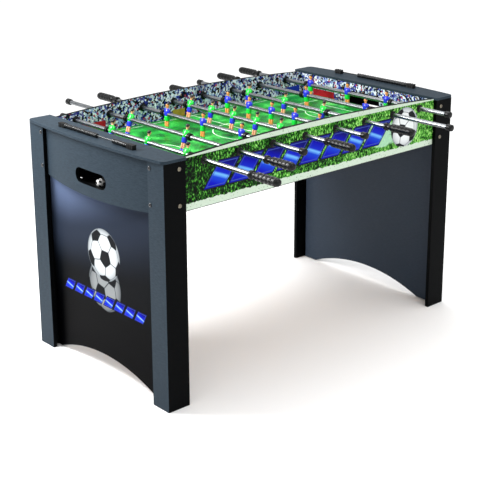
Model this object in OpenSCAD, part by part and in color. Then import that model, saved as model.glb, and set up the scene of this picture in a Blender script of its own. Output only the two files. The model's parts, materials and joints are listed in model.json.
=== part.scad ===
// Foosball table: a free-standing table football game with eight rods and twenty-six men.
// Millimetres, +Z up, X along the table, Y across it. "Left" is -X and "near" is -Y.
// The origin is on the floor, under the middle of the whole footprint, handles included.

/* [Playing area] */
// Distance from one rod to the next
rod_pitch = 150; // [140:1:180]
// Distance from a goalkeeper's rod to the end wall behind it
goal_gap = 88; // [80:1:110]
// Clear width between the side walls
field_w = 702; // [585:1:845]
// Height of the rods' axes above the playfield
rod_rise = 64; // [54:1:77]
// Thickness of the playfield board
playfield_t = 6; // [4:1:12]
// Width of the support battens under the playfield
batten_w = 18; // [12:1:30]
// Height of the support battens under the playfield
batten_h = 25; // [15:1:35]

/* [Table box] */
// Height of the end caps' upper faces above the floor
table_h = 850; // [708:1:1020]
// Thickness of the wall, apron and leg boards
board_t = 15; // [12:1:18]
// Depth of the side walls below the end caps
wall_h = 175; // [165:1:210]
// Rod axes below the end caps' upper faces
rod_drop = 29; // [24:1:35]
// Rise of a side wall's curved upper edge at mid-length
crown_h = 20; // [10:1:30]
// Height of a side wall's ends above the end caps' undersides
crown_step = 4; // [1:1:7]
// How far an end apron's curved lower edge drops at mid-width
apron_belly = 15; // [5:1:25]
// How far the middle of an end apron bows outwards between its legs
apron_bow = 28; // [12:1:32]

/* [End caps] */
// Thickness of the end caps
cap_t = 10; // [8:1:15]
// Overhang of the end caps past the legs
cap_lip = 4; // [1:1:10]
// Overhang of the end caps past the end walls, over the field
cap_inner_lip = 3; // [1:1:8]
// Outward bow of an end cap's outer edge
cap_bow = 22; // [8:1:35]
// Radius of the end caps' outer corners
cap_corner_r = 20; // [5:1:30]

/* [Legs and end panels] */
// Width of a leg's board on the long side
leg_side_w = 88; // [74:1:106]
// Width of a leg's board on the end
leg_end_w = 82; // [69:1:99]
// Width of the cleat behind a leg's end board
cleat_w = 54; // [40:1:65]
// Clearance of the cleats and end panels above the floor
panel_foot = 5; // [2:1:20]
// Height of the arch under an end panel
arch_h = 63; // [40:1:90]
// Distance from a leg's end board to where the arch starts
arch_margin = 13; // [5:1:30]

/* [Leg bolts] */
// Diameter of the leg bolts
bolt_d = 6; // [5:1:8]
// Diameter of the bolt heads
bolt_head_d = 14; // [11:1:16]
// Height of the bolt heads
bolt_head_h = 3; // [2:0.5:5]
// Width of the bolt nuts across their corners
bolt_nut_d = 13; // [11:1:15]
// Thickness of the bolt nuts
bolt_nut_h = 5; // [3:1:8]
// Upper bolts below the end caps' upper faces
bolt_upper_drop = 35; // [30:1:45]
// Lower bolts below the end caps' upper faces
bolt_lower_drop = 155; // [120:1:156]
// Distance of the bolts in the end boards from the board's inner edge
bolt_edge = 11; // [9:1:20]

/* [Goals and ball return] */
// Diameter of the ball
ball_d = 30; // [28:1:36]
// Room beside the ball in the return channel, on each side
ball_play = 2; // [1:0.5:4]
// Width of a goal mouth
goal_w = 180; // [150:1:200]
// Height of a goal mouth
goal_h = 50; // [42:1:60]
// Width of the ball slot in an end apron
slot_w = 174; // [145:1:209]
// Height of the ball slot in an end apron
slot_h = 52; // [44:1:60]
// Centre of the ball slot below the end caps' upper faces
slot_drop = 134; // [130:1:140]
// Floor of the return trays below the slots' lower edges
tray_sink = 10; // [8:1:14]
// Wall and floor thickness of the return trays
tray_t = 3; // [2:0.5:4]
// Height of a return tray
tray_h = 9; // [6:1:14]
// Inner length of a return tray
tray_l = 210; // [204:1:250]

/* [Rods] */
// Outer diameter of the rods
rod_d = 16; // [14:0.5:19]
// Wall thickness of the rods
rod_wall = 2; // [1.5:0.5:3]
// Length of a handle
handle_l = 128; // [107:1:154]
// Diameter of a handle's grip
handle_d = 30; // [26:1:36]
// Thickness of a handle's closed end
handle_end_t = 6; // [4:1:10]
// Diameter of the rubber bumpers
bumper_d = 26; // [22:1:31]
// Length of the rubber bumpers
bumper_l = 14; // [10:1:20]
// Diameter of the caps on the rods' plain ends
end_cap_d = 24; // [21:1:28]
// Length of a rod that its end cap covers
end_cap_hold = 20; // [14:1:28]
// Thickness of the end cap over the rod's end
end_cap_tip = 4; // [2:1:6]
// Room left at the bearing when a rod is pushed all the way
end_clear = 10; // [4:1:20]

/* [Rod bearings] */
// Diameter of the outer flange of a bearing housing
flange_d = 28; // [26:1:36]
// Thickness of the outer flange of a bearing housing
flange_t = 5; // [3:1:8]
// Outer diameter of a housing's sleeve, and of the hole for it
sleeve_d = 25; // [24:0.5:26]
// Width of the inner nut across its corners
nut_d = 32; // [30:1:36]
// Thickness of the inner nut
nut_t = 5; // [3:1:8]
// Outer diameter of the turning bush inside the housing
bush_d = 21; // [20.5:0.5:22]
// Thickness of the snap lips at the bush's ends
lip_t = 2; // [1:0.5:3]
// Radial clearance of the rod in the bush and of the bush in its housing
bearing_fit = 0.05; // [0.02:0.01:0.1]
// Clearance between facing parts that move past each other
face_gap = 0.4; // [0.3:0.1:1]

/* [Men] */
// Distance between the men on a two-man rod
men_gap_2 = 314; // [262:1:340]
// Distance between the men on a three-man rod
men_gap_3 = 205; // [180:1:215]
// Distance between the men on a five-man rod
men_gap_5 = 123; // [102:1:126]
// Clearance between the men's feet and the playfield
foot_clear = 5; // [3:1:8]
// Top of a man's head above the rod's axis
head_rise = 42; // [38:1:50]
// Diameter of a man's head
head_d = 16; // [14:1:19]
// Width of a man across the arms
man_w = 32; // [28:1:36]
// Width of a man's hips
hip_w = 24; // [20:1:26]
// Depth of a man's chest, front to back
chest_d = 22; // [20:1:25]
// Width of a man's legs
legs_w = 20; // [16:1:24]

/* [Scorers] */
// Number of beads in each scorer
bead_count = 10; // [8:1:12]
// Beads already slid across on the left scorer
beads_scored = 3; // [1:1:5]
// Length of a bead
bead_l = 26; // [22:1:30]
// Diameter of a bead
bead_d = 16; // [13:1:19]
// Diameter of the scorer wire
wire_d = 4; // [3:0.5:5]
// Length of wire left bare for sliding the beads
wire_free = 90; // [60:1:110]
// Length of the posts that hold the wire
post_l = 34; // [24:1:44]
// Distance of a scorer from the table's end, at the leg's face
scorer_inset = 18; // [14:1:30]

/* [Hidden] */
LEFT = -1;
RIGHT = 1;
NEAR = -1;
FAR = 1;

// Men on each rod, counted from the left end, and the side that its handle is on.
men = [3, 2, 3, 5, 5, 3, 2, 3];
handle_side = [NEAR, NEAR, FAR, NEAR, FAR, NEAR, FAR, FAR];
rod_count = len(men);
// Each rod's resting place as a share of its free travel, and its turn at rest in degrees.
rest_share = [-0.69, 0.42, -0.05, 0.05, -0.6, 0.43, -0.5, 0];
rest_turn = [15, 18, 4, 14, 5, 12, -3, 0];

green_team = "#2fd64a";
blue_team = "#2533c8";
skin = "#e0a884";
board_grey = "#56616b";
leg_black = "#23262a";
grip_black = "#1b1b1d";

// Lengths along X, from the middle outwards.
half_field_l = (rod_count - 1) * rod_pitch / 2 + goal_gap;
channel_w = ball_d + 2 * ball_play + 2 * tray_t;
apron_x = half_field_l + board_t + channel_w;
box_x = apron_x + board_t;
half_l = box_x + board_t;
cap_inner_x = half_field_l - cap_inner_lip;
leg_edge_x = half_l - leg_side_w;
bolt_side_x = half_field_l + board_t + bolt_nut_d / 2 + 1.5;
scorer_x = half_l - scorer_inset;

// Widths along Y, from the middle outwards.
half_field_w = field_w / 2;
box_y = half_field_w + board_t;
half_w = box_y + board_t;
cap_y = half_w + cap_lip;
leg_edge_y = half_w - leg_end_w;
bolt_end_y = leg_edge_y + bolt_edge;

// Heights above the floor.
cap_under_z = table_h - cap_t;
box_z = cap_under_z - wall_h;
rod_z = table_h - rod_drop;
field_z = rod_z - rod_rise;
crown_end_z = cap_under_z + crown_step;
slot_z = table_h - slot_drop;
tray_floor_z = slot_z - slot_h / 2 - tray_sink;
panel_top_z = tray_floor_z - tray_t;
ball_z = tray_floor_z + ball_d / 2 + face_gap;
wire_z = table_h + bead_d / 2 + face_gap;
bolt_zs = [table_h - bolt_upper_drop, table_h - bolt_lower_drop];

// Radii of the long shallow curves, each from its half chord and its rise.
function arc_r(half_chord, rise) = (half_chord ^ 2 + rise ^ 2) / (2 * rise);
crown_r = arc_r(cap_inner_x, crown_h);
belly_r = arc_r(half_field_w, apron_belly);
cap_r = arc_r(cap_y, cap_bow);
bow_r = arc_r(leg_edge_y, apron_bow);
arch_r = arc_r(leg_edge_y - arch_margin, arch_h - panel_foot);

// A return tray reaches out to the bowed apron behind it.
tray_end_y = tray_l / 2 + tray_t;
tray_out_x = apron_x + apron_bow - bow_r + sqrt(bow_r ^ 2 - tray_end_y ^ 2) - face_gap;

// A leg's cleat stops just under the apron's curved lower edge.
cleat_edge_y = box_y - cleat_w;
cleat_top_z = box_z - apron_belly + belly_r - sqrt(belly_r ^ 2 - cleat_edge_y ^ 2) - face_gap;

// Bearings and rod travel.
housing_in_y = half_field_w - nut_t;
housing_out_y = box_y + flange_t;
lip_in_y = housing_in_y - face_gap - lip_t;
lip_out_y = housing_out_y + face_gap + lip_t;
foot_reach = rod_rise - foot_clear;
function men_gap(n) = n == 2 ? men_gap_2 : n == 3 ? men_gap_3 : men_gap_5;
function men_half_span(n) = (n - 1) * men_gap(n) / 2 + man_w / 2 + bumper_l;
function travel(i) = lip_in_y - face_gap - men_half_span(men[i]);
function rest(i) = rest_share[i] * travel(i);
function reach(i) = lip_out_y + travel(i) + end_clear + end_cap_hold;
function rod_x(i) = (i - (rod_count - 1) / 2) * rod_pitch;
function side_reach(i, side) = reach(i) + (handle_side[i] == side ? handle_l : end_cap_tip);

// The rods rest off-centre, so the table stands this far off the origin to keep it central.
near_y = min([for (i = [0:rod_count - 1]) rest(i) - side_reach(i, NEAR)]);
far_y = max([for (i = [0:rod_count - 1]) rest(i) + side_reach(i, FAR)]);
table_y = -(near_y + far_y) / 2;

// Where the ball rests along the left tray, and the beads along their wires.
ball_rest_y = -4;
bead_room = bead_l + face_gap;
wire_l = bead_count * bead_room + wire_free;

// ---- Helpers ----

module on_table() translate([0, table_y, 0]) children();

// A board standing along the table: the outline is in X and Z, and the board starts at y.
module board_along(y, t) {
    translate([0, y + t, 0]) rotate([90, 0, 0]) linear_extrude(t) children();
}

// A board standing across the table: the outline is in Y and Z, and the board starts at x.
module board_across(x, t) {
    translate([x, 0, 0]) rotate([90, 0, 90]) linear_extrude(t) children();
}

// A rod, hole or sleeve along Y between two places.
module along_y(d, y0, y1, sides = 64) {
    translate([0, y0, 0]) rotate([-90, 0, 0]) cylinder(h = y1 - y0, d = d, $fn = sides);
}

module along_x(d, x0, x1, sides = 48) {
    translate([x0, 0, 0]) rotate([0, 90, 0]) cylinder(h = x1 - x0, d = d, $fn = sides);
}

// Draws its children at every rod's axis, then on both side walls, the near one mirrored.
module each_bearing() {
    for (i = [0:rod_count - 1], side = [0, 1])
        translate([rod_x(i), 0, rod_z]) mirror([0, side, 0]) children();
}

module box_between(low, high) translate(low) cube(high - low);

// ---- Table box ----

module wall_outline() {
    translate([-box_x, box_z]) square([2 * box_x, wall_h]);
    intersection() {
        translate([-cap_inner_x, box_z]) square([2 * cap_inner_x, wall_h + crown_step + crown_h]);
        translate([0, crown_end_z + crown_h - crown_r]) circle(crown_r, $fn = 1440);
    }
}

module side_wall(y) {
    difference() {
        board_along(y, board_t) wall_outline();
        for (i = [0:rod_count - 1])
            translate([rod_x(i), 0, rod_z]) along_y(sleeve_d, -half_w, half_w);
        for (end = [LEFT, RIGHT], z = bolt_zs)
            translate([end * bolt_side_x, 0, z]) along_y(bolt_d, -half_w, half_w);
    }
}

module side_wall_near() color("#3f9a3a") on_table() side_wall(-box_y);
module side_wall_far() color("#3f9a3a") on_table() side_wall(half_field_w);

module end_wall(end) {
    difference() {
        board_across(end == LEFT ? -half_field_l - board_t : half_field_l, board_t)
            translate([-half_field_w, box_z]) square([field_w, wall_h]);
        translate([end * half_field_l, 0, field_z + goal_h / 2])
            cube([3 * board_t, goal_w, goal_h], center = true);
    }
}

module end_wall_left() color("#c9d2dc") on_table() end_wall(LEFT);
module end_wall_right() color("#c9d2dc") on_table() end_wall(RIGHT);

module slot_outline() {
    translate([-(slot_w - slot_h) / 2, slot_z - slot_h / 2]) square([slot_w - slot_h, slot_h]);
    for (end = [LEFT, RIGHT])
        translate([end * (slot_w - slot_h) / 2, slot_z]) circle(d = slot_h, $fn = 64);
}

module apron_outline() {
    difference() {
        union() {
            translate([-half_field_w, box_z]) square([field_w, wall_h]);
            intersection() {
                translate([-half_field_w, box_z - apron_belly]) square([field_w, wall_h]);
                translate([0, box_z - apron_belly + belly_r]) circle(belly_r, $fn = 1440);
            }
        }
        slot_outline();
    }
}

// Seen from above: straight ends behind the legs, and bowed between them.
module apron_plan() {
    difference() {
        union() {
            translate([apron_x, -half_field_w]) square([board_t, field_w]);
            intersection() {
                translate([apron_x, -leg_edge_y]) square([board_t + apron_bow, 2 * leg_edge_y]);
                translate([box_x + apron_bow - bow_r, 0]) circle(bow_r, $fn = 1440);
            }
        }
        translate([apron_x + apron_bow - bow_r, 0]) circle(bow_r, $fn = 1440);
    }
}

module end_apron(end) {
    mirror([end == LEFT ? 1 : 0, 0, 0]) difference() {
        intersection() {
            board_across(apron_x, board_t + apron_bow) apron_outline();
            translate([0, 0, box_z - apron_belly]) linear_extrude(wall_h + apron_belly) apron_plan();
        }
        for (side = [NEAR, FAR], z = bolt_zs)
            translate([0, side * bolt_end_y, z]) along_x(bolt_d, -half_l, half_l);
    }
}

module end_apron_left() color(board_grey) on_table() end_apron(LEFT);
module end_apron_right() color(board_grey) on_table() end_apron(RIGHT);

module cap_outline() {
    intersection() {
        offset(r = cap_corner_r, $fn = 48) offset(delta = -cap_corner_r) intersection() {
            translate([0, -cap_y]) square([half_l + cap_lip + cap_bow, 2 * cap_y]);
            translate([half_l + cap_lip + cap_bow - cap_r, 0]) circle(cap_r, $fn = 360);
        }
        translate([cap_inner_x, -cap_y]) square([half_l, 2 * cap_y]);
    }
}

module top_cap(end) {
    translate([0, 0, cap_under_z]) mirror([end == LEFT ? 1 : 0, 0, 0])
        linear_extrude(cap_t) cap_outline();
}

module top_cap_left() color(board_grey) on_table() top_cap(LEFT);
module top_cap_right() color(board_grey) on_table() top_cap(RIGHT);

module playfield() {
    color("#1f9a35") on_table()
        box_between([-half_field_l, -half_field_w, field_z - playfield_t],
                    [half_field_l, half_field_w, field_z]);
}

module playfield_battens() {
    top = field_z - playfield_t;
    cross_x = half_field_l / 3;
    color("#b98d5a") on_table() {
        for (side = [0, 1]) mirror([0, side, 0])
            box_between([-half_field_l, half_field_w - batten_w, top - batten_h],
                        [half_field_l, half_field_w, top]);
        for (end = [LEFT, RIGHT])
            box_between([end * cross_x - batten_w / 2, batten_w - half_field_w, top - batten_h],
                        [end * cross_x + batten_w / 2, half_field_w - batten_w, top]);
    }
}

// ---- Legs ----

// One corner leg, drawn for the far right corner: two boards and a cleat, glued together.
module leg_boards() {
    difference() {
        union() {
            box_between([leg_edge_x, box_y, 0], [half_l, half_w, cap_under_z]);
            box_between([box_x, leg_edge_y, 0], [half_l, half_w, cap_under_z]);
            box_between([apron_x, cleat_edge_y, panel_foot], [box_x, box_y, cleat_top_z]);
        }
        for (z = bolt_zs) {
            translate([bolt_side_x, 0, z]) along_y(bolt_d, half_field_w, half_w + 1);
            translate([0, bolt_end_y, z]) along_x(bolt_d, apron_x, half_l + 1);
        }
    }
}

module leg(end, side) {
    mirror([end == LEFT ? 1 : 0, 0, 0]) mirror([0, side == NEAR ? 1 : 0, 0]) leg_boards();
}

module leg_near_left() color(leg_black) on_table() leg(LEFT, NEAR);
module leg_far_left() color(leg_black) on_table() leg(LEFT, FAR);
module leg_near_right() color(leg_black) on_table() leg(RIGHT, NEAR);
module leg_far_right() color(leg_black) on_table() leg(RIGHT, FAR);

module leg_panel(end) {
    board_across(end == LEFT ? -apron_x : apron_x - board_t, board_t) difference() {
        translate([-half_field_w, panel_foot]) square([field_w, panel_top_z - panel_foot]);
        translate([0, arch_h - arch_r]) circle(arch_r, $fn = 720);
    }
}

module leg_panel_left() color("#3c4454") on_table() leg_panel(LEFT);
module leg_panel_right() color("#3c4454") on_table() leg_panel(RIGHT);

// A domed head and shank along Z, its head's face at the origin, for boards of this depth.
module bolt() {
    rotate_extrude($fn = 48) polygon([
        [0, bolt_head_h], [bolt_head_d * 0.3, bolt_head_h], [bolt_head_d / 2, bolt_head_h * 0.4],
        [bolt_head_d / 2, 0], [bolt_d / 2, 0], [bolt_d / 2, -2 * board_t - bolt_nut_h],
        [0, -2 * board_t - bolt_nut_h]
    ]);
}

module bolt_nut() {
    translate([0, 0, -2 * board_t - bolt_nut_h]) difference() {
        cylinder(h = bolt_nut_h, d = bolt_nut_d, $fn = 6);
        translate([0, 0, -1]) cylinder(h = bolt_nut_h + 2, d = bolt_d, $fn = 48);
    }
}

// Draws its children at each leg's four bolts, with +Z pointing out of the board.
module each_leg_bolt() {
    for (end = [0, 1], side = [0, 1], z = bolt_zs) mirror([end, 0, 0]) mirror([0, side, 0]) {
        translate([bolt_side_x, half_w, z]) rotate([-90, 0, 0]) children();
        translate([half_l, bolt_end_y, z]) rotate([0, 90, 0]) children();
    }
}

module leg_bolts() color("silver") on_table() each_leg_bolt() bolt();
module leg_bolt_nuts() color("silver") on_table() each_leg_bolt() bolt_nut();

// ---- Rod bearings ----

module bearing_housings() {
    color(grip_black) on_table() each_bearing() difference() {
        union() {
            along_y(flange_d, box_y, housing_out_y);
            along_y(sleeve_d, housing_in_y, housing_out_y);
        }
        along_y(bush_d + 2 * bearing_fit, housing_in_y - 1, housing_out_y + 1);
    }
}

module bearing_nuts() {
    color(grip_black) on_table() each_bearing() difference() {
        along_y(nut_d, housing_in_y, half_field_w, sides = 6);
        along_y(sleeve_d, housing_in_y - 1, half_field_w + 1);
    }
}

// The turning bush of one bearing: a sleeve with a snap lip at each end.
module bush() {
    lip_d = bush_d + 3;
    difference() {
        union() {
            along_y(bush_d, lip_in_y, lip_out_y);
            along_y(lip_d, lip_in_y, lip_in_y + lip_t);
            along_y(lip_d, lip_out_y - lip_t, lip_out_y);
        }
        along_y(rod_d + 2 * bearing_fit, lip_in_y - 1, lip_out_y + 1);
    }
}

module rod_bushes(i) {
    color(grip_black) on_table() translate([rod_x(i), 0, rod_z])
        for (side = [0, 1]) mirror([0, side, 0]) bush();
}

// ---- Rods ----

// Places its children on rod i, at its rest slide and turn.
module on_rod(i) {
    on_table() translate([rod_x(i), rest(i), rod_z]) rotate([0, rest_turn[i], 0]) children();
}

// A rod's pieces are drawn with the handle at the far side and mirrored for a near one.
module by_handle(i) mirror([0, handle_side[i] == NEAR ? 1 : 0, 0]) children();

module rod_tube(i) {
    color("gainsboro") on_rod(i) by_handle(i) difference() {
        along_y(rod_d, -reach(i), reach(i) + handle_l - handle_end_t);
        along_y(rod_d - 2 * rod_wall, -reach(i) - 1, reach(i) + handle_l);
    }
}

// Handle profile as radius against distance from the collar: collar, neck, grip and grooves.
module handle_outline() {
    collar_l = 12;
    neck_l = 16;
    groove = 3;
    rings = 4;
    grip_y = collar_l + neck_l;
    ring_pitch = (handle_l - grip_y - 2 * groove) / (rings + 1);
    difference() {
        union() {
            translate([0, 0]) square([handle_d * 0.48, collar_l]);
            square([handle_d * 0.34, grip_y + 1]);
            translate([0, grip_y]) square([handle_d / 2, handle_l - grip_y - groove]);
            translate([0, grip_y]) square([handle_d / 2 - groove, handle_l - grip_y]);
        }
        for (k = [1:rings])
            translate([handle_d / 2 - 1, grip_y + k * ring_pitch]) square([2, groove]);
    }
}

module handle() {
    difference() {
        rotate([-90, 0, 0]) rotate_extrude($fn = 64) handle_outline();
        along_y(rod_d, -1, handle_l - handle_end_t);
    }
}

module end_cap() {
    difference() {
        along_y(end_cap_d, -end_cap_tip, end_cap_hold);
        along_y(rod_d, 0, end_cap_hold + 1);
    }
}

module bumper() {
    difference() {
        along_y(bumper_d, 0, bumper_l);
        along_y(rod_d, -1, bumper_l + 1);
    }
}

module rod_fittings(i) {
    inner = men_half_span(men[i]) - bumper_l;
    color(grip_black) on_rod(i) by_handle(i) {
        translate([0, reach(i), 0]) handle();
        translate([0, -reach(i), 0]) end_cap();
        for (side = [0, 1]) mirror([0, side, 0]) translate([0, inner, 0]) bumper();
    }
}

// ---- Men ----

// Side view of a man's shorts, legs and boots, in X and Z with the rod's axis at the origin.
module legs_outline() {
    boot_h = 13;
    polygon([
        [-8, -foot_reach], [10, -foot_reach], [10, -foot_reach + boot_h * 0.6],
        [6, -foot_reach + boot_h], [7, -24], [chest_d / 2 - 1, -20], [chest_d / 2 - 1, 0],
        [1 - chest_d / 2, 0], [1 - chest_d / 2, -20], [-7, -24], [-6, -foot_reach + boot_h],
        [-8, -foot_reach + boot_h * 0.6]
    ]);
}

// Side view of the trunk and arms.
module trunk_outline() {
    circle(d = chest_d, $fn = 64);
    polygon([
        [-chest_d / 2, 0], [chest_d / 2, 0], [chest_d / 2 - 1, 15], [chest_d / 2 - 5, 22],
        [5 - chest_d / 2, 22], [1 - chest_d / 2, 15]
    ]);
}

// Front view of the trunk and arms, in Y and Z.
module front_outline() {
    shoulder = man_w / 2;
    hip = hip_w / 2;
    polygon([
        [-hip, -12], [hip, -12], [hip + 1, -3], [shoulder, -5], [shoulder, 14],
        [shoulder - 5, 22], [5 - shoulder, 22], [-shoulder, 14], [-shoulder, -5], [-hip - 1, -3]
    ]);
}

module man() {
    difference() {
        union() {
            board_along(-legs_w / 2, legs_w) legs_outline();
            intersection() {
                board_along(-man_w / 2, man_w) trunk_outline();
                board_across(-chest_d / 2, chest_d) front_outline();
            }
            cylinder(h = head_rise - head_d / 2, d = head_d * 0.6, $fn = 32);
            translate([0, 0, head_rise - head_d / 2]) sphere(d = head_d, $fn = 48);
        }
        along_y(rod_d, -man_w, man_w);
    }
}

module rod_men(i) {
    n = men[i];
    facing = handle_side[i] == NEAR ? 0 : 1;
    color(handle_side[i] == NEAR ? green_team : blue_team) on_rod(i)
        for (k = [0:n - 1])
            translate([0, (k - (n - 1) / 2) * men_gap(n), 0]) mirror([facing, 0, 0]) man();
}

// ---- Goals, ball and scorers ----

module goal_tray(end) {
    x0 = apron_x - channel_w;
    mirror([end == LEFT ? 1 : 0, 0, 0]) difference() {
        box_between([x0, -tray_end_y, panel_top_z], [tray_out_x, tray_end_y, panel_top_z + tray_h]);
        box_between([x0 + tray_t, -tray_l / 2, tray_floor_z],
                    [tray_out_x - tray_t, tray_l / 2, panel_top_z + tray_h + 1]);
    }
}

module goal_tray_left() color(grip_black) on_table() goal_tray(LEFT);
module goal_tray_right() color(grip_black) on_table() goal_tray(RIGHT);

module ball() {
    color("white") on_table() translate([tray_t + ball_play + ball_d / 2 - tray_out_x, ball_rest_y, ball_z])
        sphere(d = ball_d, $fn = 96);
}

// Two posts with the wire between them, on the cap at one end.
module scorer_rail(end) {
    color(leg_black) on_table() translate([end * scorer_x, 0, 0]) {
        for (side = [0, 1]) mirror([0, side, 0])
            box_between([-bead_d / 2, wire_l / 2, table_h],
                        [bead_d / 2, wire_l / 2 + post_l, wire_z + bead_d / 2]);
        translate([0, 0, wire_z]) along_y(wire_d, -wire_l / 2 - 1, wire_l / 2 + 1);
    }
}

module scorer_rail_left() scorer_rail(LEFT);
module scorer_rail_right() scorer_rail(RIGHT);

module bead() {
    rib = bead_l / 5;
    difference() {
        union() {
            along_y(bead_d - 4, 0, bead_l);
            for (k = [0, 2, 4]) along_y(bead_d, k * rib, (k + 1) * rib);
        }
        along_y(wire_d + 2 * bearing_fit, -1, bead_l + 1);
    }
}

// A run of beads on one scorer's wire, starting at y and running towards the far side.
module beads(end, count, y) {
    color("#6d747c") on_table() for (k = [0:count - 1])
        translate([end * scorer_x, y + k * bead_room + face_gap / 2, wire_z]) bead();
}

module beads_left_waiting() {
    waiting = bead_count - beads_scored;
    beads(LEFT, waiting, wire_l / 2 - waiting * bead_room);
}
module beads_left_scored() beads(LEFT, beads_scored, -wire_l / 2);
module beads_right() beads(RIGHT, bead_count, -wire_l / 2);

side_wall_near();
side_wall_far();
end_wall_left();
end_wall_right();
end_apron_left();
end_apron_right();
top_cap_left();
top_cap_right();
playfield();
playfield_battens();
leg_near_left();
leg_far_left();
leg_near_right();
leg_far_right();
leg_panel_left();
leg_panel_right();
leg_bolts();
leg_bolt_nuts();
bearing_housings();
bearing_nuts();
goal_tray_left();
goal_tray_right();
scorer_rail_left();
scorer_rail_right();
beads_left_waiting();
beads_left_scored();
beads_right();
ball();
for (i = [0:rod_count - 1]) {
    rod_tube(i);
    rod_men(i);
    rod_fittings(i);
    rod_bushes(i);
}
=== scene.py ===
import json
import math

import bmesh
import bpy
from mathutils import Matrix, Vector


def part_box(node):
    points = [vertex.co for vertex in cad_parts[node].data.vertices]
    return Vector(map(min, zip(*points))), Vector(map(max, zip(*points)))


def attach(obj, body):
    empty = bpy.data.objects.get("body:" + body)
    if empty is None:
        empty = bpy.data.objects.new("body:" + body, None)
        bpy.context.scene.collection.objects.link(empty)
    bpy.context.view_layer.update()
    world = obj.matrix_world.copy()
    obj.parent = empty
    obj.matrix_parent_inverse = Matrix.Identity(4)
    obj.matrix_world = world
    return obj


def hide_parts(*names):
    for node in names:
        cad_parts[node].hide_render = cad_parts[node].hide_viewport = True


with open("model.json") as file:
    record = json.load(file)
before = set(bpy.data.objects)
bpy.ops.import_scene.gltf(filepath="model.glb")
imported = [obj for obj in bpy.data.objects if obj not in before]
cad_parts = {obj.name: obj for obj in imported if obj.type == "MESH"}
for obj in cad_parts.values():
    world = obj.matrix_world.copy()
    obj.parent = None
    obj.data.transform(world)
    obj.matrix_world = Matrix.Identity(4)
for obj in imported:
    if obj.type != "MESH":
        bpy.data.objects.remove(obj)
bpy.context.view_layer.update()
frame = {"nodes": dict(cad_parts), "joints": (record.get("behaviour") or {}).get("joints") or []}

nodes = frame["nodes"]
mm = 0.001
rodNumbers = range(1, 9)
rodPivots = {j["name"]: Vector(j["pos_m"]) for j in frame["joints"] if j["type"] == "hinge"}
fieldLow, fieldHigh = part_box("playfield")
tableY = (fieldLow.y + fieldHigh.y) / 2
fieldTop = fieldHigh.z


def linearColour(hexColour):
    channels = [int(hexColour[i:i + 2], 16) / 255 for i in (1, 3, 5)]
    return (*[c / 12.92 if c <= 0.04045 else ((c + 0.055) / 1.055) ** 2.4 for c in channels], 1)


def addNode(tree, kind, *inputs, **settings):
    # inputs are numbers, colours or sockets, in the order the node shows them
    node = tree.nodes.new("ShaderNode" + kind)
    for setting, value in settings.items():
        setattr(node, setting, value)
    for socket, value in zip([s for s in node.inputs if s.enabled], inputs):
        if isinstance(value, bpy.types.NodeSocket):
            tree.links.new(value, socket)
        elif value is not None:
            socket.default_value = linearColour(value) if isinstance(value, str) else value
    return next(s for s in node.outputs if s.enabled)


def startMaterial(name, colour, roughness, **shaderValues):
    material = bpy.data.materials.new(name)
    material.use_nodes = True
    shader = material.node_tree.nodes["Principled BSDF"]
    shader.inputs["Base Color"].default_value = linearColour(colour)
    shader.inputs["Roughness"].default_value = roughness
    for socketName, value in shaderValues.items():
        shader.inputs[socketName.replace("_", " ")].default_value = value
    place = material.node_tree.nodes.new("ShaderNodeTexCoord").outputs["Object"]
    return material, material.node_tree, shader, place


def clearSelection():
    bpy.ops.object.select_all(action="DESELECT")


def activate(piece):
    clearSelection()
    piece.select_set(True)
    bpy.context.view_layer.objects.active = piece


def smooth(piece, degrees=35):
    activate(piece)
    bpy.ops.object.shade_smooth_by_angle(angle=math.radians(degrees))


def applyModifiers(piece):
    activate(piece)
    for modifier in list(piece.modifiers):
        bpy.ops.object.modifier_apply(modifier=modifier.name)


def stackRings(name, rings, sides=24, filled=True):
    # a round or oval form along Z: each ring is (height, half depth X, half width Y, shift X), in mm
    clearSelection()
    bpy.ops.mesh.primitive_circle_add(vertices=sides, radius=1, fill_type="NGON" if filled else "NOTHING")
    piece = bpy.context.object
    piece.name = piece.data.name = name
    bpy.ops.object.mode_set(mode="EDIT")
    bpy.ops.mesh.select_mode(type="VERT")
    bpy.ops.mesh.select_all(action="SELECT")
    rings = [(*ring, *(0,) * (4 - len(ring))) for ring in rings]
    height, deep, wide, shift = [v * mm for v in rings[0]]
    bpy.ops.transform.resize(value=(deep, wide, 1))
    bpy.ops.transform.translate(value=(shift, 0, height))
    for ring in rings[1:]:
        nextHeight, nextDeep, nextWide, nextShift = [v * mm for v in ring]
        bpy.ops.mesh.extrude_region_move(
            TRANSFORM_OT_translate={"value": (nextShift - shift, 0, nextHeight - height)})
        bpy.ops.transform.resize(value=(nextDeep / deep, nextWide / wide, 1),
                                 center_override=(nextShift, 0, nextHeight))
        height, deep, wide, shift = nextHeight, nextDeep, nextWide, nextShift
    bpy.ops.mesh.select_all(action="SELECT")
    bpy.ops.mesh.remove_doubles(threshold=0.00001)
    bpy.ops.mesh.normals_make_consistent(inside=False)
    bpy.ops.object.mode_set(mode="OBJECT")
    return piece


def turned(name, profile, sides=32, hollow=False):
    # a lathe form along Z from (height, radius) pairs; a hollow one ends where it starts
    return stackRings(name, [(h, r, r) for h, r in profile], sides, filled=not hollow)


def placeMesh(piece, *matrices):
    # moves the mesh itself, so that the object stays at the origin
    for matrix in matrices:
        piece.data.transform(matrix)
    if any(m.determinant() < 0 for m in matrices):
        piece.data.flip_normals()
    piece.data.update()
    return piece


def copyPiece(master, name, *matrices):
    piece = bpy.data.objects.new(name, master.data.copy())
    piece.data.name = name
    bpy.context.scene.collection.objects.link(piece)
    return placeMesh(piece, *matrices)


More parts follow.
